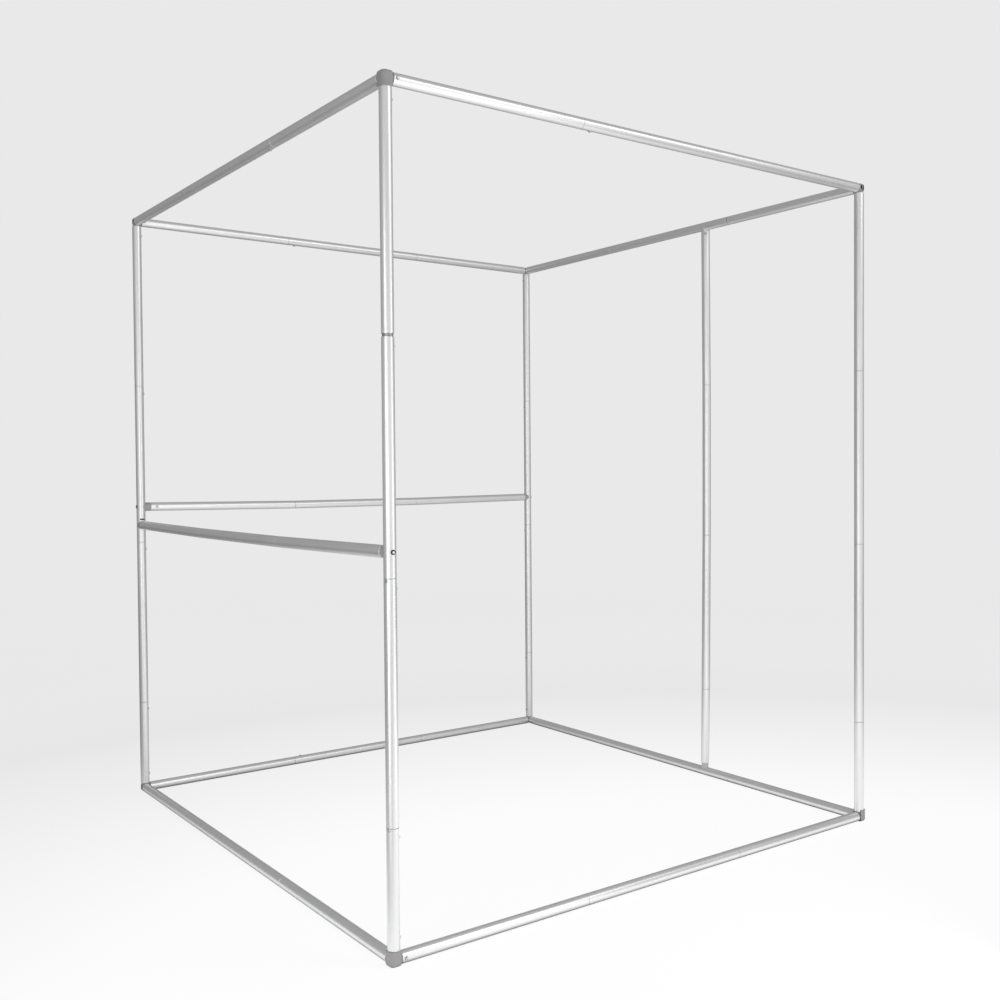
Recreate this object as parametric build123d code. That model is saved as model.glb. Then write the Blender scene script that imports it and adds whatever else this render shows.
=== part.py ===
from build123d import *
import os

# A free-standing box frame of sectional aluminium tube, the skeleton of an enclosure tent.
# Millimetres. +X runs to the right, +Y to the rear, +Z up. The front (-Y) side is open.
# The origin is on the floor, under the middle of the frame.

# --- Driving dimensions ---------------------------------------------------------------

TUBE_RADIUS = 8.0
TUBE_WALL = 1.0
WIDTH = 920.0          # between post axes, left to right
DEPTH = 926.0          # between post axes, front to rear
HEIGHT = 1067.0        # between bottom and top bar axes
TUBE_START = 8.5       # from a corner's centre to the end of each tube there
END_BREAK = 0.25       # chamfer round a tube's cut ends

POST_JOINTS = (162.0, 465.5, 759.0)   # above the bottom bars' axis
# Of each bar's two joints, from the corner at each end.
JOINTS_FROM_CORNERS = {
    "front": (307.0, 307.0),
    "rear": (307.0, 307.0),
    "left": (313.0, 313.0),
    "right": (290.0, 303.0),
}
RAIL_JOINT_FROM_POST = 315.0
JOINT_GAP = 0.5
OPEN_POST_GAP = 4.0    # the front left post's first joint stands open
OPEN_BAR_GAP = 2.0     # and so does the top right bar's first joint

LEFT_RAIL_Z = 505.5    # at the posts
REAR_RAIL_Z = 540.0
LEFT_RAIL_SAG = 2.5    # of a rail's joints below its ends
REAR_RAIL_SAG = 3.5
BENT_SLEEVE_CLEARANCE = 0.2

# Inner sleeves, spigots and plugs run in the bore with this radial clearance.
SLIDE_CLEARANCE = 0.05
SLEEVE_BORE_RADIUS = 5.75
SLEEVE_REACH = 28.0    # each way from a joint
SPIGOT_END = 41.0      # from a corner's centre

# Spring buttons.
BUTTON_RADIUS = 2.2
BUTTON_HOLE_RADIUS = 2.4
BUTTON_PROUD = 1.6
BUTTON_ROUNDING = 1.0
BUTTON_PAST_JOINT = 15.0
POST_BUTTON_BELOW_JOINT = 13.5
BAR_CORNER_BUTTON = 13.0    # from a corner's centre, along a bar
POST_CORNER_BUTTON = 25.0   # from a corner's centre, along a post
LEAF_TOP = 4.7              # height of the spring leaf above the tube's axis
LEAF_THICKNESS = 0.6
LEAF_WIDTH = 5.6
LEAF_BEHIND = 3.2
LEAF_AHEAD = 9.0
CLIP_AHEAD = 14.0
CLIP_BEND_TOP = 3.4

# Corner connectors.
HUB_HALF = 7.0
HUB_ROUNDING = 4.0
HUB_POCKET_RADIUS = 4.6
HUB_POCKET_STRAIGHT = 1.6
HUB_WEB = 1.5
HUB_SOLID_TO = 9.5

# The soft boots over three of them.
BOOT_OUT = 8.9            # its outward faces, from the corner's centre
BOOT_TO_BARS = 8.2         # its edges towards the bars
BOOT_WALL = 0.8
BOOT_OUTER_ROUNDING = 7.0  # of the outward upright edge
BOOT_ROUNDING = 4.5        # of the other upright edges
BOOT_END_ROUNDING = 4.0
BOOT_END = 8.0             # closed end, from the corner's centre
BOOT_END_THICKNESS = 0.9
BOOT_SKIRT_END = 11.5      # open end, on the post

# Rail end fittings and their through screws.
SADDLE_CLEARANCE = 0.15
SADDLE_EAR_GAP = 2.5       # from the crossed tube's axis to the tip of an ear
LONG_COLLAR_END = 16.5      # from the crossed tube's axis
SHORT_COLLAR_END = 12.0
COLLAR_GAP = 0.4
FITTING_PLUG_END = 46.0
FITTING_CORE_END = 23.0
FITTING_BUTTON = 28.5
SCREW_RADIUS = 1.2
SCREW_HOLE_RADIUS = 1.35
SCREW_END = 20.0
SCREW_HEAD_RADIUS = 1.7
SCREW_HEAD_HEIGHT = 0.8
SCREW_HEAD_ROUNDING = 0.5
SCREW_SOCKET_RADIUS = 0.7
SCREW_SOCKET_DEPTH = 0.5
WASHER_RADIUS = 3.2
WASHER_TOP = 8.6

# The stud between the right side's bars. It leans a little and bows outward at its joints.
STUD_FOOT_FROM_POST = 357.0
STUD_HEAD_FROM_POST = 351.0
STUD_BOW = (2.2, 4.2, 3.7)
STUD_TOP_BUTTON = 15.0
STUD_TOP_PLUG_END = 46.0
STUD_TUBE_START = 17.0
STUD_NECK_RADIUS = 6.6
STUD_FOOT_CORE_END = 19.0
STUD_FOOT_BUTTON = 26.0
STUD_FOOT_PLUG_END = 50.0

# An unused lacing slot in the rear left post.
LACING_SLOT_ABOVE_RAIL = 11.0
LACING_SLOT_WIDTH = 8.6
LACING_SLOT_HEIGHT = 2.6

# Rivets that fix the lower sleeves of the front left post.
RIVETS_BELOW_JOINTS = (2.1, 3.0)
RIVET_HEAD_RADIUS = 2.5
RIVET_HEAD_HEIGHT = 0.9
RIVET_HEAD_ROUNDING = 0.7
RIVET_SHANK_RADIUS = 1.4
RIVET_HOLE_RADIUS = 1.45
RIVET_TURN = 24.0      # degrees from straight left towards the front

# --- Derived --------------------------------------------------------------------------

BORE_RADIUS = TUBE_RADIUS - TUBE_WALL
SLEEVE_RADIUS = BORE_RADIUS - SLIDE_CLEARANCE
SADDLE_RADIUS = TUBE_RADIUS + SADDLE_CLEARANCE
BOTTOM_Z = TUBE_RADIUS
TOP_Z = TUBE_RADIUS + HEIGHT
CUT = 12.0             # how far a cutter reaches beyond what it cuts

RIGHT = Vector(1, 0, 0)
LEFT = Vector(-1, 0, 0)
REAR = Vector(0, 1, 0)
FRONT = Vector(0, -1, 0)
UP = Vector(0, 0, 1)
DOWN = Vector(0, 0, -1)
FACING = {"front": FRONT, "rear": REAR, "right": RIGHT, "up": UP, "down": DOWN}

CORNER_XY = {
    "front_left": (-WIDTH / 2, -DEPTH / 2),
    "front_right": (WIDTH / 2, -DEPTH / 2),
    "rear_left": (-WIDTH / 2, DEPTH / 2),
    "rear_right": (WIDTH / 2, DEPTH / 2),
}
POST_BUTTONS_FACE = {
    "front_left": RIGHT,
    "front_right": RIGHT,
    "rear_left": RIGHT,
    "rear_right": LEFT,
}
# side: first corner, direction of the bar
BARS = {
    "front": ("front_left", RIGHT),
    "rear": ("rear_left", RIGHT),
    "left": ("front_left", REAR),
    "right": ("front_right", REAR),
}
# Which way each bar's buttons face: first corner, first joint, second joint, last corner.
BAR_BUTTONS_FACE = {
    ("bottom", "front"): ("front", "rear", "rear", "rear"),
    ("bottom", "rear"): ("rear", "up", "rear", "rear"),
    ("bottom", "left"): ("right", "right", "right", "right"),
    ("bottom", "right"): ("right", "right", "right", "right"),
    ("top", "front"): ("front", "down", "rear", "rear"),
    ("top", "rear"): ("front", "down", "rear", "rear"),
    ("top", "left"): ("right", "down", "right", "right"),
    ("top", "right"): ("right", "right", "right", "right"),
}
LEVELS = {"bottom": (BOTTOM_Z, UP), "top": (TOP_Z, DOWN)}
BOOTED = [("front_left", "top"), ("front_left", "bottom"), ("front_right", "bottom")]

nodes = {}


# --- Helpers --------------------------------------------------------------------------

def corner_point(corner, z):
    x, y = CORNER_XY[corner]
    return Vector(x, y, z)


def rod(start, direction, near, far, radius):
    """A cylinder along direction, from near to far past the start point."""
    place = Plane(origin=start + direction * near, z_dir=direction)
    return place.location * extrude(Circle(radius), far - near)


def ring(start, direction, near, far, outer, inner):
    return rod(start, direction, near, far, outer) - rod(start, direction, near, far, inner)


def keep(name, solids):
    nodes.setdefault(name, []).extend(solids)


def tube(start, direction, near, far, cutters=()):
    """One tube section, its outer ends lightly broken and its holes cut."""
    outer = rod(start, direction, near, far, TUBE_RADIUS)
    outer = chamfer(outer.edges().filter_by(GeomType.CIRCLE), END_BREAK)
    section = outer - rod(start, direction, near, far, BORE_RADIUS)
    for cutter in cutters:
        section -= cutter
    return section


class ButtonSite:
    """A spring button: where it is on a tube's axis, and which ways it and its leaf point."""

    def __init__(self, start, direction, distance, facing, leaf=1):
        self.distance = distance
        self.place = Plane(
            origin=start + direction * distance, x_dir=direction * leaf, z_dir=facing
        )

    def hole(self):
        return self.place.location * extrude(Circle(BUTTON_HOLE_RADIUS), TUBE_RADIUS + CUT)

    def button(self):
        head = extrude(Circle(BUTTON_RADIUS), TUBE_RADIUS + BUTTON_PROUD - LEAF_TOP)
        head = fillet(head.edges().group_by(Axis.Z)[-1], BUTTON_ROUNDING)
        leaf_length = LEAF_BEHIND + LEAF_AHEAD
        leaf = Pos((LEAF_AHEAD - LEAF_BEHIND) / 2, 0, 0) * Box(
            leaf_length, LEAF_WIDTH, LEAF_THICKNESS, align=(Align.CENTER, Align.CENTER, Align.MAX)
        )
        return self.place.location * (Pos(0, 0, LEAF_TOP) * (head + leaf))

    def clip(self):
        """The fixed half of the V spring: a back leaf and the bend that rises from it."""
        low = (Align.MIN, Align.CENTER, Align.MIN)
        back = Pos(-LEAF_BEHIND, 0, -LEAF_TOP) * Box(
            LEAF_BEHIND + CLIP_AHEAD, LEAF_WIDTH, LEAF_THICKNESS, align=low
        )
        bend = Pos(CLIP_AHEAD - LEAF_THICKNESS, 0, -LEAF_TOP) * Box(
            LEAF_THICKNESS, LEAF_WIDTH, LEAF_TOP + CLIP_BEND_TOP, align=low
        )
        return self.place.location * (back + bend)


def add_sites(group, sites):
    keep(group, [site.button() for site in sites])
    keep("spring_clips", [site.clip() for site in sites])


def sections(start, direction, near, far, joints, sites, gaps=None, extra_cutters=()):
    """Tube sections between near and far, split at the joints, with their inner sleeves."""
    gaps = gaps or [JOINT_GAP] * len(joints)
    starts = [near] + [joint + gap / 2 for joint, gap in zip(joints, gaps)]
    ends = [joint - gap / 2 for joint, gap in zip(joints, gaps)] + [far]
    tubes = []
    for low, high in zip(starts, ends):
        cutters = [site.hole() for site in sites if low < site.distance < high]
        cutters += [cutter for distance, cutter in extra_cutters if low < distance < high]
        tubes.append(tube(start, direction, low, high, cutters))
    for joint in joints:
        holes = [site.hole() for site in sites if abs(site.distance - joint) < SLEEVE_REACH]
        holes += [cutter for distance, cutter in extra_cutters if abs(distance - joint) < SLEEVE_REACH]
        add_sleeve(start + direction * joint, direction, SLEEVE_RADIUS, holes)
    return tubes


def add_sleeve(joint, direction, radius, holes):
    sleeve = ring(joint, direction, -SLEEVE_REACH, SLEEVE_REACH, radius, SLEEVE_BORE_RADIUS)
    for hole in holes:
        sleeve -= hole
    keep("joint_sleeves", [sleeve])


# --- Corner connectors ----------------------------------------------------------------

def rounded_cube(half, rounding):
    cube = Box(2 * half, 2 * half, 2 * half)
    return fillet(cube.edges(), rounding)


def hub_pocket(outward, web_along):
    """A blind cored pocket in an outer face, split by a thin web."""
    straight_end = HUB_HALF - HUB_POCKET_STRAIGHT
    mouth = Plane(origin=outward * straight_end, x_dir=web_along, z_dir=outward)
    cylinder = extrude(Circle(HUB_POCKET_RADIUS), HUB_POCKET_STRAIGHT + CUT)
    cone = Cone(
        0, HUB_POCKET_RADIUS, HUB_POCKET_RADIUS, align=(Align.CENTER, Align.CENTER, Align.MAX)
    )
    web = Box(4 * HUB_POCKET_RADIUS, HUB_WEB, 2 * CUT)
    return mouth.location * ((cylinder + cone) - web)


def corner_connector(corner, level):
    """The three-way connector of one corner, with its three spigots and their buttons."""
    z, inward_z = LEVELS[level]
    centre = corner_point(corner, z)
    inward_x = RIGHT if centre.X < 0 else LEFT
    inward_y = REAR if centre.Y < 0 else FRONT
    arms = [inward_x, inward_y, inward_z]
    hub = rounded_cube(HUB_HALF, HUB_ROUNDING)
    for arm in arms:
        hub += rod(Vector(0, 0, 0), arm, 0, SPIGOT_END, SLEEVE_RADIUS)
    for arm in arms:
        hub -= rod(Vector(0, 0, 0), arm, HUB_SOLID_TO, SPIGOT_END + CUT, SLEEVE_BORE_RADIUS)
        hub -= hub_pocket(-arm, RIGHT if abs(arm.Z) > 0 else UP)
    return Pos(centre.X, centre.Y, centre.Z) * hub


def closed_prism(out, to_bars, outer_rounding, rounding, end_rounding, open_end, closed_end):
    """An upright prism with round edges, except round its open lower end."""
    side = out + to_bars
    middle = (to_bars - out) / 2
    outline = Pos(middle, middle) * Rectangle(side, side)
    outward_first = outline.vertices().sort_by(lambda vertex: vertex.X + vertex.Y)
    outline = fillet(outward_first[1:], rounding)
    outward_first = outline.vertices().sort_by(lambda vertex: vertex.X + vertex.Y)
    outline = fillet(outward_first[:1], outer_rounding)
    prism = Pos(0, 0, open_end) * extrude(outline, closed_end - open_end)
    return fillet(prism.edges().group_by(Axis.Z)[-1], end_rounding)


def corner_boot(corner, level):
    """A thin cap over the connector's outer faces and the outer half of the post's end."""
    z, _ = LEVELS[level]
    centre = corner_point(corner, z)
    boot = closed_prism(
        BOOT_OUT, BOOT_TO_BARS, BOOT_OUTER_ROUNDING, BOOT_ROUNDING, BOOT_END_ROUNDING,
        -BOOT_SKIRT_END, BOOT_END,
    )
    cavity_rounding = BOOT_OUTER_ROUNDING - BOOT_WALL
    boot -= closed_prism(
        BOOT_OUT - BOOT_WALL, BOOT_TO_BARS + 2 * CUT, cavity_rounding, cavity_rounding,
        BOOT_END_ROUNDING - BOOT_WALL, -BOOT_SKIRT_END - CUT, BOOT_END - BOOT_END_THICKNESS,
    )
    if centre.X > 0:
        boot = mirror(boot, Plane.YZ)
    if level == "bottom":
        boot = mirror(boot, Plane.XY)
    return Pos(centre.X, centre.Y, centre.Z) * boot


# --- Rails and stud -------------------------------------------------------------------

def saddle_cutter(crossed_start, crossed_direction):
    return rod(crossed_start, crossed_direction, -4 * TUBE_RADIUS, 4 * TUBE_RADIUS, SADDLE_RADIUS)


def rail_fitting(post, direction, collar_end, site, screw_hole):
    """The end fitting of a mid rail: a collar that straddles the post, and a plug."""
    fitting = rod(post, direction, SADDLE_EAR_GAP, collar_end, TUBE_RADIUS)
    fitting += rod(post, direction, collar_end, FITTING_PLUG_END, SLEEVE_RADIUS)
    fitting -= saddle_cutter(post, UP)
    fitting -= rod(post, direction, FITTING_CORE_END, FITTING_PLUG_END + CUT, SLEEVE_BORE_RADIUS)
    fitting -= screw_hole
    fitting -= site.hole()
    return fitting


def rail_screw(post, direction):
    """A button-head screw along the rail's axis, its head outside the post."""
    back = direction * -1
    shank = rod(post, direction, -WASHER_TOP, SCREW_END, SCREW_RADIUS)
    place = Plane(origin=post + back * WASHER_TOP, z_dir=back)
    head = extrude(Circle(SCREW_HEAD_RADIUS), SCREW_HEAD_HEIGHT)
    head = fillet(head.edges().group_by(Axis.Z)[-1], SCREW_HEAD_ROUNDING)
    socket_sides = 6
    socket = Pos(0, 0, SCREW_HEAD_HEIGHT - SCREW_SOCKET_DEPTH) * extrude(
        RegularPolygon(SCREW_SOCKET_RADIUS, socket_sides), CUT
    )
    return shank + place.location * (head - socket)


def rail_washer(post, direction):
    """A washer whose underside follows the post."""
    back = direction * -1
    washer = ring(post, back, TUBE_RADIUS / 2, WASHER_TOP, WASHER_RADIUS, SCREW_HOLE_RADIUS)
    return washer - rod(post, UP, -CUT, CUT, TUBE_RADIUS)


def mid_rail(name, first_corner, direction, length, z, sag, collar_ends, end_facings, joint_facing):
    """A mid rail between two posts, with its end fittings, screws and washers.

    Its three sections meet at small angles, because the joints hang lower than the ends.
    """
    drop = DOWN * sag
    reach = (RAIL_JOINT_FROM_POST**2 + sag**2) ** 0.5
    middle_length = length - 2 * RAIL_JOINT_FROM_POST
    middle_start = corner_point(first_corner, z) + direction * RAIL_JOINT_FROM_POST + drop
    middle_sites = [
        ButtonSite(middle_start, direction, BUTTON_PAST_JOINT, joint_facing),
        ButtonSite(middle_start, direction, middle_length - BUTTON_PAST_JOINT, joint_facing, -1),
    ]
    holes = [site.hole() for site in middle_sites]
    middle = tube(middle_start, direction, JOINT_GAP / 2, middle_length - JOINT_GAP / 2, holes)
    tubes = [middle]
    end_sites = []
    first_post = corner_point(first_corner, z)
    ends = zip(
        (first_post, first_post + direction * length), (direction, direction * -1),
        collar_ends, end_facings, middle_sites,
    )
    for post, inward, collar_end, end_facing, middle_site in ends:
        along = (inward * RAIL_JOINT_FROM_POST + drop).normalized()
        site = ButtonSite(post, along, FITTING_BUTTON, end_facing)
        end_sites.append(site)
        tubes.append(tube(post, along, collar_end + COLLAR_GAP, reach - JOINT_GAP / 2, [site.hole()]))
        screw_hole = rod(post, along, -2 * TUBE_RADIUS, SCREW_END + 1, SCREW_HOLE_RADIUS)
        keep("rail_end_fittings", [rail_fitting(post, along, collar_end, site, screw_hole)])
        keep("rail_screws", [rail_screw(post, along)])
        keep("rail_screw_washers", [rail_washer(post, along)])
        add_sleeve(
            post + along * reach, (along + inward).normalized(),
            BORE_RADIUS - BENT_SLEEVE_CLEARANCE, [middle_site.hole()],
        )
    keep(f"mid_rail_{name}", tubes)
    return end_sites, middle_sites


def stud():
    """The removable stud on the right side, held between the two bars."""
    foot = corner_point("front_right", BOTTOM_Z) + REAR * STUD_FOOT_FROM_POST
    head = corner_point("front_right", TOP_Z) + REAR * STUD_HEAD_FROM_POST
    bends = [
        foot + (head - foot) * (joint / HEIGHT) + RIGHT * bow
        for joint, bow in zip(POST_JOINTS, STUD_BOW)
    ]
    starts = [foot] + bends
    ways = [(end - start).normalized() for start, end in zip(starts, bends + [head])]
    lengths = [(end - start).length for start, end in zip(starts, bends + [head])]
    nears = [STUD_TUBE_START] + [JOINT_GAP / 2] * len(bends)
    shortfalls = [JOINT_GAP / 2] * len(bends) + [SADDLE_EAR_GAP]

    foot_site = ButtonSite(foot, ways[0], STUD_FOOT_BUTTON, RIGHT)
    joint_sites = [
        ButtonSite(bend, way * -1, POST_BUTTON_BELOW_JOINT, RIGHT, -1)
        for bend, way in zip(bends, ways)
    ]
    top_site = ButtonSite(head, ways[-1] * -1, STUD_TOP_BUTTON, (LEFT + FRONT).normalized())
    sites = [[foot_site, joint_sites[0]], joint_sites[1:2], joint_sites[2:], [top_site]]
    tubes = [
        tube(start, way, near, length - shortfall, [site.hole() for site in section_sites])
        for start, way, near, length, shortfall, section_sites in zip(
            starts, ways, nears, lengths, shortfalls, sites
        )
    ]
    for bend, before, after, site in zip(bends, ways, ways[1:], joint_sites):
        add_sleeve(
            bend, (before + after).normalized(), BORE_RADIUS - BENT_SLEEVE_CLEARANCE, [site.hole()]
        )
    bar_clearance = saddle_cutter(head, REAR)
    tubes[-1] = (tubes[-1] - bar_clearance).solids().sort_by(SortBy.VOLUME)[-1]
    keep("stud_tube", tubes)

    plug = ring(head, ways[-1] * -1, 0, STUD_TOP_PLUG_END, SLEEVE_RADIUS, SLEEVE_BORE_RADIUS)
    plug = plug - bar_clearance - top_site.hole()
    keep("stud_top_plug", [plug.solids().sort_by(SortBy.VOLUME)[-1]])
    saddle = rod(foot, ways[0], 0, STUD_TUBE_START, STUD_NECK_RADIUS)
    saddle += rod(foot, ways[0], STUD_TUBE_START - TUBE_WALL, STUD_FOOT_PLUG_END, SLEEVE_RADIUS)
    saddle -= rod(foot, ways[0], STUD_FOOT_CORE_END, STUD_FOOT_PLUG_END + CUT, SLEEVE_BORE_RADIUS)
    saddle -= saddle_cutter(foot, REAR)
    saddle -= foot_site.hole()
    keep("stud_foot_saddle", [saddle])
    add_sites("stud_top_button", [top_site])
    add_sites("stud_joint_buttons", joint_sites + [foot_site])


# --- Assembly -------------------------------------------------------------------------

def bar_button_group(side, facing):
    """Buttons that face the same way share a group; those facing right are split by side."""
    return f"{side}_bar_buttons_facing_right" if facing == "right" else f"bar_buttons_facing_{facing}"


def build_bars():
    for (level, side), facings in BAR_BUTTONS_FACE.items():
        first_corner, direction = BARS[side]
        z, _ = LEVELS[level]
        start = corner_point(first_corner, z)
        length = WIDTH if direction == RIGHT else DEPTH
        first, last = JOINTS_FROM_CORNERS[side]
        joints = [first, length - last]
        distances = [
            BAR_CORNER_BUTTON, joints[0] + BUTTON_PAST_JOINT,
            joints[1] - BUTTON_PAST_JOINT, length - BAR_CORNER_BUTTON,
        ]
        leaves = [1, 1, -1, -1]
        sites = [
            ButtonSite(start, direction, distance, FACING[facing], leaf)
            for distance, facing, leaf in zip(distances, facings, leaves)
        ]
        is_open = (level, side) == ("top", "right")
        gaps = [OPEN_BAR_GAP if is_open else JOINT_GAP, JOINT_GAP]
        tubes = sections(start, direction, TUBE_START, length - TUBE_START, joints, sites, gaps)
        keep(f"{level}_bar_{side}", tubes)
        for site, facing in zip(sites, facings):
            add_sites(bar_button_group(side, facing), [site])
        spigot_holes.extend((sites[0].hole(), sites[-1].hole()))


def build_rails():
    end_sites, joint_sites = mid_rail(
        "left", "front_left", REAR, DEPTH, LEFT_RAIL_Z, LEFT_RAIL_SAG,
        (SHORT_COLLAR_END, SHORT_COLLAR_END), (RIGHT, RIGHT), RIGHT,
    )
    add_sites("left_rail_buttons", end_sites + joint_sites)
    end_sites, joint_sites = mid_rail(
        "rear", "rear_left", RIGHT, WIDTH, REAR_RAIL_Z, REAR_RAIL_SAG,
        (LONG_COLLAR_END, SHORT_COLLAR_END), (FRONT, REAR), REAR,
    )
    add_sites(bar_button_group("rear", "front"), end_sites[:1])
    add_sites(bar_button_group("rear", "rear"), end_sites[1:])
    add_sites("rear_rail_joint_buttons", joint_sites)


def post_cutters(corner, foot):
    """Screw holes for the mid rails that meet this post, and the lacing slot."""
    reach = 2 * TUBE_RADIUS
    along_y = rod(corner_point(corner, LEFT_RAIL_Z), REAR, -reach, reach, SCREW_HOLE_RADIUS)
    along_x = rod(corner_point(corner, REAR_RAIL_Z), RIGHT, -reach, reach, SCREW_HOLE_RADIUS)
    slot_z = LEFT_RAIL_Z + LACING_SLOT_ABOVE_RAIL
    slot = Pos(foot.X, foot.Y - TUBE_RADIUS, slot_z) * Box(
        LACING_SLOT_WIDTH, TUBE_RADIUS, LACING_SLOT_HEIGHT
    )
    left_rail = (LEFT_RAIL_Z - BOTTOM_Z, along_y)
    rear_rail = (REAR_RAIL_Z - BOTTOM_Z, along_x)
    lacing = (slot_z - BOTTOM_Z, slot)
    return {
        "front_left": [left_rail] + [(distance, hole) for distance, _, hole in rivets(foot)],
        "rear_left": [left_rail, rear_rail, lacing],
        "rear_right": [rear_rail],
        "front_right": [],
    }[corner]


def rivets(foot):
    """The two rivets of the front left post: distance up the post, rivet and its hole."""
    made = []
    for joint, below in zip(POST_JOINTS, RIVETS_BELOW_JOINTS):
        distance = joint - below
        head = extrude(Circle(RIVET_HEAD_RADIUS), RIVET_HEAD_HEIGHT)
        head = fillet(head.edges().group_by(Axis.Z)[-1], RIVET_HEAD_ROUNDING)
        sink = TUBE_RADIUS - SLEEVE_BORE_RADIUS
        shank = Pos(0, 0, -sink) * extrude(Circle(RIVET_SHANK_RADIUS), sink)
        seat = Plane(
            origin=foot + UP * distance,
            z_dir=LEFT.rotate(Axis.Z, RIVET_TURN),
        )
        rivet = seat.location * (Pos(0, 0, TUBE_RADIUS) * (head + shank))
        rivet -= rod(foot, UP, distance - CUT, distance + CUT, TUBE_RADIUS) - rod(
            seat.origin, seat.z_dir, 0, TUBE_RADIUS, RIVET_SHANK_RADIUS
        )
        hole = rod(seat.origin, seat.z_dir, 0, TUBE_RADIUS + CUT, RIVET_HOLE_RADIUS)
        made.append((distance, rivet, hole))
    return made


def build_posts():
    for corner, facing in POST_BUTTONS_FACE.items():
        foot = corner_point(corner, BOTTOM_Z)
        distances = [POST_CORNER_BUTTON]
        distances += [joint - POST_BUTTON_BELOW_JOINT for joint in POST_JOINTS]
        sites = [ButtonSite(foot, UP, distance, facing) for distance in distances]
        sites.append(ButtonSite(foot, UP, HEIGHT - POST_CORNER_BUTTON, facing, -1))
        gaps = [JOINT_GAP, JOINT_GAP, OPEN_POST_GAP if corner == "front_left" else JOINT_GAP]
        tubes = sections(
            foot, UP, TUBE_START, HEIGHT - TUBE_START, POST_JOINTS, sites, gaps,
            post_cutters(corner, foot),
        )
        for label, section in zip(("foot", "lower", "middle", "upper"), tubes):
            keep(f"post_{corner}_{label}", [section])
        add_sites(f"post_{corner}_buttons", sites)
        spigot_holes.extend((sites[0].hole(), sites[-1].hole()))
        if corner == "front_left":
            keep("sleeve_rivets", [rivet for _, rivet, _ in rivets(foot)])


def build_corners():
    for corner in CORNER_XY:
        for level, (z, _) in LEVELS.items():
            connector = corner_connector(corner, level)
            centre = corner_point(corner, z)
            for hole in spigot_holes:
                if (hole.center() - centre).length < SPIGOT_END:
                    connector -= hole
            keep(f"connector_{corner}_{level}", [connector])
    for corner, level in BOOTED:
        keep(f"corner_boot_{corner}_{level}", [corner_boot(corner, level)])


spigot_holes = []
build_bars()
build_rails()
build_posts()
stud()
build_corners()

os.makedirs("parts", exist_ok=True)
for name, shapes in nodes.items():
    solids = [solid for shape in shapes for solid in shape.solids()]
    export_step(solids[0] if len(solids) == 1 else Compound(children=solids), f"parts/{name}.step")
    print(name, len(solids))
print(len(nodes), "nodes")
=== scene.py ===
import math

import bmesh
import bpy
from mathutils import Matrix, Vector

# The visual model of a box frame of aluminium tube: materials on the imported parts, a pale
# stage, studio light and a camera. Metres; +X right, +Y rear, +Z up, the front is -Y.

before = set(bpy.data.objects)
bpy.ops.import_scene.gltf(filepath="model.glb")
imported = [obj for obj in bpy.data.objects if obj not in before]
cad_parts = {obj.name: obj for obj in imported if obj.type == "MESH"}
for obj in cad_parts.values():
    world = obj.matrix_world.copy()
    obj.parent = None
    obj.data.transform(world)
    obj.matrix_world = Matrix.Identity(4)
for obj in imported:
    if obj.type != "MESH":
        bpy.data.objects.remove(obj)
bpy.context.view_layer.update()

# --- Camera: the photograph's viewing angle --------------------------------------------

CAMERA_AT = (-1.1346, -1.6186, 0.6031)
CAMERA_YAW = 0.941755      # radians, from +X towards +Y
CAMERA_PITCH = -0.023523
CAMERA_ROLL = -0.007748
FOCAL_PER_WIDTH = 1.10177
SENSOR_MM = 36.0
CAMERA_SHIFT_X = -0.0005
CAMERA_SHIFT_Y = -0.00353

# --- Room ------------------------------------------------------------------------------

FLOOR_RADIUS = 7.0
FLOOR_FADE = (2.6, 5.0)            # distances where it starts and ends, from the origin
FLOOR_TONE = (0.15, 0.17)
FLOOR_ROUGHNESS = 0.9
FLOOR_GLOSS = 0.1
BACKDROP_LEVEL = 0.815
# The floor is brightest here. Its brightness is given at fractions of the reach, once as it
# is seen and once as it lights the frame.
BRIGHT_SPOT = (-0.15, -0.90, 0.0)
BRIGHT_REACH = 4.0
FLOOR_SEEN = [(0.12, 0.88), (0.27, 0.79), (0.43, 0.725), (0.6, 0.74)]
FLOOR_THROWN = [(0.08, 1.05), (0.24, 0.62), (0.42, 0.20), (0.6, 0.14)]
# Painted shadow where it throws less light: from the bars' axes outward, and across X to its
# left.
FLOOR_SHADE_BY_BARS = (0.003, 0.018)
FLOOR_SHADE_LEFT = (-0.75, -0.45, 0.50, 1.0)

ROOM_LEVEL = 0.29
CEILING_LEVEL = 0.38
CEILING_EDGE = (0.5, 0.95)         # upward cosines where it fades in and is full
# Direction, cosines where the wall fades in and is full, level.
FRONT_WALL = ((-0.35, -0.94, 0.0), 0.05, 0.75, 0.72)
FRONT_WALL_FADES_UP = (0.02, 0.20, 1.0, 0.35)
# Panels near the frame: place, point they face, width and height, power.
AREAS = {
    "softbox": ((1.00, -1.95, 1.85), (0.0, 0.0, 0.6), (1.4, 0.8), 8.0),
    "left_card": ((-1.80, -1.60, 0.40), (0.0, 0.0, 0.4), (1.3, 0.9), 2.6),
    "left_strip": ((-1.05, -0.70, 0.50), (-0.46, -0.46, 0.50), (0.3, 1.1), 1.7),
    "right_strip": ((0.05, -1.00, 0.50), (-0.46, -0.46, 0.50), (0.3, 1.0), 1.4),
}

# --- Finishes --------------------------------------------------------------------------

TUBE_SHADE = 0.82
TUBE_ROUGHNESS = 0.32
TUBE_METALLIC = 0.65
# Painted shade: the joint sleeves are much darker than the tubes, so the gaps between tube
# sections read as shaded.
SLEEVE_GAP_SHADE = 0.35
SLEEVE_ROUGHNESS = 0.38
LINES_ACROSS = 450.0       # drawn lines' noise scale across and along a tube
LINES_ALONG = 5.0
# Painted shade: the near-black colour given to the slotted post's bore and the hubs' pockets.
PAINTED_SHADE_INSIDE = 0.012
BORE_RADIUS = 0.0072
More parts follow.
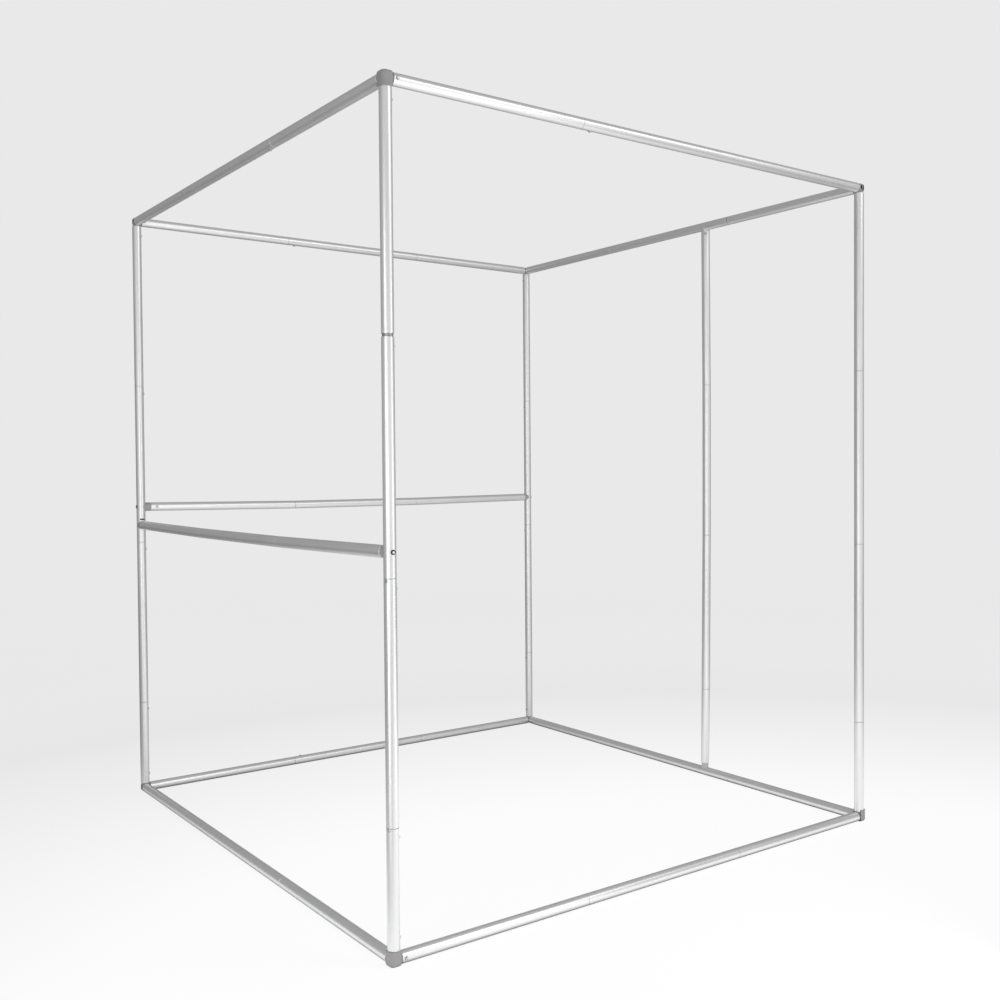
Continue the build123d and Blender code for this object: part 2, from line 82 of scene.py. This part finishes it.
# Painted shade in a hub's cored pockets: outward from its centre, from where the shade is full to
# where they are as light as the rest, and likewise outward from a pocket's own axis.
HUB_POCKET_SHADE_DEPTHS = (0.0058, 0.0068)
HUB_POCKET_SHADE_RADII = (0.0046, 0.0049)
# The middle of the eight corners' centres, and how far out from it they are.
CORNERS_CENTRE = (0.0, 0.0, 0.5415)
CORNERS_HALF = (0.460, 0.463, 0.5335)

# The axis that each tube runs along, by the start of its name, or by the end for the bars.
UPRIGHT_TUBES = ("post_", "stud_tube")
LEVEL_TUBES = ("top_bar_", "bottom_bar_", "mid_rail_")
SLOTTED_TUBE = "post_rear_left_middle"
# Which finish each of the other nodes has, by the start of its name.
FINISHES = {
    "joint_sleeves": "sleeve",
    "spring_clips": "clip",
    "connector_": "nylon",
    "corner_boot_": "boot",
    "rail_screws": "screw",
    "sleeve_rivets": "screw",
    "rail_screw_washers": "washer",
    "rail_end_fittings": "fitting",
    "stud_top_plug": "fitting",
    "stud_foot_saddle": "saddle",
}


# --- Shader helpers --------------------------------------------------------------------

def grey(value):
    """A colour from one level, or from three."""
    levels = value if isinstance(value, tuple) else (value, value, value)
    return (*levels, 1.0)


class Nodes:
    """A material, and the means to add and link its shader nodes."""

    def __init__(self, name, **sockets):
        self.material = bpy.data.materials.new(name)
        self.material.use_nodes = True
        self.tree = self.material.node_tree
        self.shader = self.tree.nodes["Principled BSDF"]
        for socket, value in sockets.items():
            self.shader.inputs[socket.replace("_", " ")].default_value = value

    def add(self, kind, **values):
        node = self.tree.nodes.new(kind)
        for key, value in values.items():
            setattr(node, key, value)
        return node

    def link(self, a, b):
        self.tree.links.new(a, b)

    def shade(self, socket, source):
        self.link(source, self.shader.inputs[socket])

    def place(self):
        """The object's own coordinates, in metres."""
        return self.add("ShaderNodeTexCoord").outputs["Object"]

    def math(self, operation, a, b=0.0):
        node = self.add("ShaderNodeMath", operation=operation)
        for socket, term in zip(node.inputs, (a, b)):
            if isinstance(term, float):
                socket.default_value = term
            else:
                self.link(term, socket)
        return node.outputs["Value"]

    def vector(self, operation, value, amount=(0, 0, 0), output="Vector"):
        node = self.add("ShaderNodeVectorMath", operation=operation)
        node.inputs[1].default_value = amount
        self.link(value, node.inputs[0])
        return node.outputs[output]

    def smooth(self, value, low, high, at_low=0.0, at_high=1.0):
        """A soft step of the value, from low to high."""
        fade = self.add("ShaderNodeMapRange", interpolation_type="SMOOTHSTEP")
        for socket, number in (("From Min", low), ("From Max", high),
                               ("To Min", at_low), ("To Max", at_high)):
            fade.inputs[socket].default_value = number
        self.link(value, fade.inputs["Value"])
        return fade.outputs["Result"]

    def ramp(self, factor, stops):
        """Levels or colours at positions along a factor."""
        ramp = self.add("ShaderNodeValToRGB")
        elements = ramp.color_ramp.elements
        for element, (position, value) in zip(elements, (stops[0], stops[-1])):
            element.position, element.color = position, grey(value)
        for position, value in stops[1:-1]:
            elements.new(position).color = grey(value)
        self.link(factor, ramp.inputs["Fac"])
        return ramp.outputs["Color"]

    def mixed(self, factor, a, b):
        """Colour a at factor 0 and b at factor 1; a may be a level."""
        mix = self.add("ShaderNodeMix", data_type="RGBA")
        self.link(factor, mix.inputs[0])
        if isinstance(a, float):
            mix.inputs[6].default_value = grey(a)
        else:
            self.link(a, mix.inputs[6])
        self.link(b, mix.inputs[7])
        return mix.outputs[2]

    def noise(self, scale, stretch=(1, 1, 1), detail=3.0, roughness=0.55):
        mapping = self.add("ShaderNodeMapping")
        mapping.inputs["Scale"].default_value = stretch
        noise = self.add("ShaderNodeTexNoise")
        noise.inputs["Scale"].default_value = scale
        noise.inputs["Detail"].default_value = detail
        noise.inputs["Roughness"].default_value = roughness
        self.link(self.place(), mapping.inputs["Vector"])
        self.link(mapping.outputs["Vector"], noise.inputs["Vector"])
        return noise.outputs["Fac"]

    def bump(self, height, strength, distance):
        bump = self.add("ShaderNodeBump")
        bump.inputs["Strength"].default_value = strength
        bump.inputs["Distance"].default_value = distance
        self.link(height, bump.inputs["Height"])
        self.shade("Normal", bump.outputs["Normal"])

    def distance(self, centre, near, far):
        """Distance from a point, as 0 at near to 1 at far."""
        reach = self.vector("DISTANCE", self.place(), centre, "Value")
        return self.smooth(reach, near, far)

    def outward(self):
        """Offsets outward from the frame's corners, the same at all eight."""
        from_middle = self.vector("SUBTRACT", self.place(), CORNERS_CENTRE)
        return self.vector("SUBTRACT", self.vector("ABSOLUTE", from_middle), CORNERS_HALF)

    def furthest_out(self, axes="XYZ"):
        """The largest of the outward offsets."""
        parts = self.add("ShaderNodeSeparateXYZ")
        self.link(self.outward(), parts.inputs[0])
        value = parts.outputs[axes[0]]
        for axis in axes[1:]:
            value = self.math("MAXIMUM", value, parts.outputs[axis])
        return value

    def unshaded_outside_bore(self):
        """The mask of the painted shade: 0 within the bore of a post, 1 outside it."""
        flat = self.vector("MULTIPLY", self.outward(), (1, 1, 0))
        radius = self.vector("LENGTH", flat, output="Value")
        return self.smooth(radius, BORE_RADIUS, BORE_RADIUS * 1.05)

    def unshaded_outside_pockets(self):
        """The mask of the painted shade: 0 in the depth of a hub's pockets, 1 on the rest of it.
        """
        depth = self.furthest_out()
        reach = self.vector("LENGTH", self.outward(), output="Value")
        beside = self.math(
            "SUBTRACT", self.math("MULTIPLY", reach, reach), self.math("MULTIPLY", depth, depth)
        )
        outside = self.smooth(self.math("SQRT", beside), *HUB_POCKET_SHADE_RADII)
        return self.math("MAXIMUM", outside, self.smooth(depth, *HUB_POCKET_SHADE_DEPTHS))


# --- Materials -------------------------------------------------------------------------

def aluminium(name, along, shade=TUBE_SHADE, roughness=TUBE_ROUGHNESS, paint_bore_shade=False):
    """Drawn and anodised tube: faint lines along its length and soft smudges."""
    nodes = Nodes(name, Metallic=TUBE_METALLIC)
    stretch = [LINES_ACROSS] * 3
    stretch["XYZ".index(along)] = LINES_ALONG
    drawn = nodes.noise(1.0, stretch=stretch, detail=4.0, roughness=0.6)
    smudged = (shade * 0.95, shade * 0.955, shade * 0.96)
    clean = (shade, shade, shade * 1.005)
    colour = nodes.ramp(nodes.noise(14.0), [(0.3, smudged), (0.7, clean)])
    # Painted shade: near-black inside the slotted post's bore.
    if paint_bore_shade:
        colour = nodes.mixed(nodes.unshaded_outside_bore(), PAINTED_SHADE_INSIDE, colour)
    nodes.shade("Base Color", colour)
    nodes.shade(
        "Roughness", nodes.ramp(drawn, [(0.25, roughness - 0.05), (0.75, roughness + 0.06)])
    )
    nodes.bump(drawn, 0.06, 0.00003)
    return nodes.material


def moulded(name, low, high, roughness, paint_pocket_shade=False):
    """Moulded plastic with a fine spark-eroded texture."""
    nodes = Nodes(name)
    colour = nodes.ramp(nodes.noise(60.0, detail=4.0), [(0.3, low), (0.7, high)])
    # Painted shade: near-black in the depth of a hub's cored pockets.
    if paint_pocket_shade:
        colour = nodes.mixed(nodes.unshaded_outside_pockets(), PAINTED_SHADE_INSIDE, colour)
    nodes.shade("Base Color", colour)
    texture = nodes.noise(1400.0, detail=2.0)
    nodes.shade(
        "Roughness", nodes.ramp(texture, [(0.3, roughness - 0.08), (0.7, roughness + 0.08)])
    )
    nodes.bump(texture, 0.25, 0.00006)
    return nodes.material


def steel(name, low, high, roughness):
    """Plain steel with fine scuffs."""
    nodes = Nodes(name, Metallic=1.0)
    scuff = nodes.noise(700.0, detail=4.0)
    nodes.shade("Base Color", nodes.ramp(scuff, [(0.3, low), (0.7, high)]))
    nodes.shade(
        "Roughness", nodes.ramp(scuff, [(0.3, roughness - 0.08), (0.7, roughness + 0.1)])
    )
    nodes.bump(scuff, 0.15, 0.00003)
    return nodes.material


def paper():
    """The stage's floor, which glows and fades out into the backdrop."""
    nodes = Nodes("stage_paper", Roughness=FLOOR_ROUGHNESS, Specular_IOR_Level=FLOOR_GLOSS,
                  Emission_Strength=1.0)
    low, high = FLOOR_TONE
    nodes.shade("Base Color", nodes.ramp(nodes.noise(0.6, detail=2.0), [(0.3, low), (0.7, high)]))
    seen = nodes.ramp(nodes.distance(BRIGHT_SPOT, 0.0, BRIGHT_REACH), FLOOR_SEEN)
    thrown = nodes.ramp(nodes.distance(BRIGHT_SPOT, 0.0, BRIGHT_REACH), FLOOR_THROWN)
    # Painted shadow in the light the floor throws: less near the bars and towards its left.
    from_bars = nodes.math("ABSOLUTE", nodes.furthest_out("XY"))
    across = nodes.add("ShaderNodeSeparateXYZ")
    nodes.link(nodes.place(), across.inputs[0])
    share = nodes.math(
        "MULTIPLY", nodes.smooth(from_bars, *FLOOR_SHADE_BY_BARS),
        nodes.smooth(across.outputs["X"], *FLOOR_SHADE_LEFT),
    )
    shaded = nodes.add("ShaderNodeVectorMath", operation="SCALE")
    nodes.link(thrown, shaded.inputs[0])
    nodes.link(share, shaded.inputs["Scale"])
    is_seen = nodes.add("ShaderNodeLightPath").outputs["Is Camera Ray"]
    nodes.shade("Emission Color", nodes.mixed(is_seen, shaded.outputs["Vector"], seen))
    mix = nodes.add("ShaderNodeMixShader")
    nodes.link(nodes.distance((0, 0, 0), *FLOOR_FADE), mix.inputs["Fac"])
    nodes.link(nodes.shader.outputs["BSDF"], mix.inputs[1])
    nodes.link(nodes.add("ShaderNodeBsdfTransparent").outputs["BSDF"], mix.inputs[2])
    nodes.link(mix.outputs["Shader"], nodes.tree.nodes["Material Output"].inputs["Surface"])
    return nodes.material


def assign(obj, material):
    obj.data.materials.clear()
    obj.data.materials.append(material)


def finish_of(node):
    """The key of the finish that a node has."""
    if node == SLOTTED_TUBE:
        return "slotted"
    if "button" in node:
        return "button"
    if node.startswith(UPRIGHT_TUBES):
        return "Z"
    if node.startswith(LEVEL_TUBES):
        return "X" if node.endswith(("_front", "_rear")) else "Y"
    return next(finish for start, finish in FINISHES.items() if node.startswith(start))


def add_materials():
    finishes = {axis: aluminium(f"tube_aluminium_{axis.lower()}", axis) for axis in "XYZ"}
    finishes |= {
        "slotted": aluminium("tube_aluminium_slotted_bore_shade", "Z", paint_bore_shade=True),
        "sleeve": aluminium("sleeve_aluminium", "Z", SLEEVE_GAP_SHADE, SLEEVE_ROUGHNESS),
        "button": steel("button_steel", 0.46, 0.60, 0.32),
        "clip": steel("clip_steel", 0.25, 0.40, 0.40),
        "screw": steel("screw_steel", 0.60, 0.80, 0.25),
        "nylon": moulded("hub_nylon_pocket_shade", 0.30, 0.36, 0.55, paint_pocket_shade=True),
        "boot": moulded("boot_plastic", (0.30, 0.29, 0.295), (0.34, 0.33, 0.335), 0.62),
        "fitting": moulded("fitting_plastic", 0.35, 0.41, 0.50),
        "saddle": moulded("saddle_plastic", 0.50, 0.57, 0.45),
        # Painted shade: the near-black washers stand for the shadow in the clearance around each
        # rail screw.
        "washer": moulded("washer_painted_shade", 0.012, 0.02, 0.45),
    }
    for node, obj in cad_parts.items():
        assign(obj, finishes[finish_of(node)])


# --- Camera, lights and stage ----------------------------------------------------------

def add_camera():
    forward = Vector((
        math.cos(CAMERA_YAW) * math.cos(CAMERA_PITCH),
        math.sin(CAMERA_YAW) * math.cos(CAMERA_PITCH),
        math.sin(CAMERA_PITCH),
    ))
    level_right = forward.cross(Vector((0, 0, 1))).normalized()
    level_up = level_right.cross(forward)
    right = level_right * math.cos(CAMERA_ROLL) + level_up * math.sin(CAMERA_ROLL)
    turn = Matrix((right, right.cross(forward), -forward)).transposed()
    data = bpy.data.cameras.new("camera")
    data.sensor_width = SENSOR_MM
    data.lens = FOCAL_PER_WIDTH * SENSOR_MM
    data.shift_x = CAMERA_SHIFT_X
    data.shift_y = CAMERA_SHIFT_Y
    camera = bpy.data.objects.new("camera", data)
    camera.matrix_world = Matrix.Translation(CAMERA_AT) @ turn.to_4x4()
    bpy.context.scene.collection.objects.link(camera)
    bpy.context.scene.camera = camera


def add_area(name, place, aim, size, power):
    """A rectangular light that isn't seen itself."""
    data = bpy.data.lights.new(name, "AREA")
    data.shape = "RECTANGLE"
    data.size, data.size_y = size
    data.energy = power
    light = bpy.data.objects.new(name, data)
    light.location = place
    light.visible_camera = False
    light.rotation_euler = (Vector(aim) - Vector(place)).to_track_quat("-Z", "Y").to_euler()
    bpy.context.scene.collection.objects.link(light)


def add_floor():
    """A pale floor, brightest in front of the frame."""
    bm = bmesh.new()
    bmesh.ops.create_circle(bm, cap_ends=True, segments=96, radius=FLOOR_RADIUS)
    mesh = bpy.data.meshes.new("stage_floor")
    bm.to_mesh(mesh)
    bm.free()
    floor = bpy.data.objects.new("stage_floor", mesh)
    bpy.context.scene.collection.objects.link(floor)
    assign(floor, paper())


def add_world():
    """Pale where it is seen directly; for light, a dim room with a bright wall in front."""
    world = bpy.data.worlds.new("studio")
    world.use_nodes = True
    tree = world.node_tree
    direction = tree.nodes.new("ShaderNodeTexCoord").outputs["Generated"]

    def towards(aim):
        dot = tree.nodes.new("ShaderNodeVectorMath")
        dot.operation = "DOT_PRODUCT"
        dot.inputs[1].default_value = Vector(aim).normalized()
        tree.links.new(direction, dot.inputs[0])
        return dot.outputs["Value"]

    def step(value, low, high, level, below=0.0):
        fade = tree.nodes.new("ShaderNodeMapRange")
        fade.interpolation_type = "SMOOTHSTEP"
        for socket, number in (("From Min", low), ("From Max", high),
                               ("To Min", below), ("To Max", level)):
            fade.inputs[socket].default_value = number
        tree.links.new(value, fade.inputs["Value"])
        return fade.outputs["Result"]

    def combine(operation, a, b):
        result = tree.nodes.new("ShaderNodeMath")
        result.operation = operation
        for socket, term in zip(result.inputs, (a, b)):
            if isinstance(term, float):
                socket.default_value = term
            else:
                tree.links.new(term, socket)
        return result.outputs["Value"]

    upward = towards((0, 0, 1))
    ceiling = step(upward, *CEILING_EDGE, CEILING_LEVEL - ROOM_LEVEL)
    aim, low, high, brightness = FRONT_WALL
    fade_low, fade_high, full, dim = FRONT_WALL_FADES_UP
    wall = combine(
        "MULTIPLY", step(towards(aim), low, high, brightness),
        step(upward, fade_low, fade_high, dim, full),
    )
    level = combine("ADD", combine("ADD", ceiling, ROOM_LEVEL), wall)
    backdrop = tree.nodes.new("ShaderNodeMix")
    is_seen = tree.nodes.new("ShaderNodeLightPath").outputs["Is Camera Ray"]
    tree.links.new(is_seen, backdrop.inputs["Factor"])
    tree.links.new(level, backdrop.inputs[2])
    backdrop.inputs[3].default_value = BACKDROP_LEVEL
    tree.links.new(backdrop.outputs[0], tree.nodes["Background"].inputs["Color"])
    bpy.context.scene.world = world


add_camera()
for name, area in AREAS.items():
    add_area(name, *area)
add_world()
add_floor()
add_materials()
scene = bpy.context.scene
scene.view_settings.view_transform = "Standard"
scene.view_settings.look = "None"

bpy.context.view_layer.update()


def flat(value):
    return [[float(number) for number in point] for point in value]
